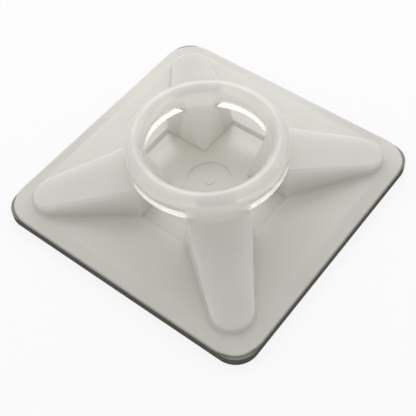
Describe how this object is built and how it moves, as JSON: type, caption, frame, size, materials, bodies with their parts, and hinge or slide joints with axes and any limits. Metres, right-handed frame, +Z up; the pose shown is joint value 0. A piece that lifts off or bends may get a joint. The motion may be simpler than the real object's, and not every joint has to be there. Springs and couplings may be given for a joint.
{
  "type": "cable tie mount",
  "caption": "Square self-adhesive mount with a low ring on legs: a cable tie passes under the ring along either of two crossing channels.",
  "frame": {"origin": "centre of the adhesive pad's underside, on the surface that the mount is stuck to", "axes": "+Z up out of that surface along the axis of the ring, X and Y along the sides of the square base and along the two tie channels"},
  "size_m": [0.028, 0.028, 0.0075],
  "materials": {
    "nylon": "natural translucent nylon with a soft moulded gloss",
    "foam": "matt closed-cell foam tape with fine pores on its cut edge"
  },
  "bodies": {
    "root": {"mount_body": "nylon", "adhesive_pad": "foam"}
  },
  "joints": []
}
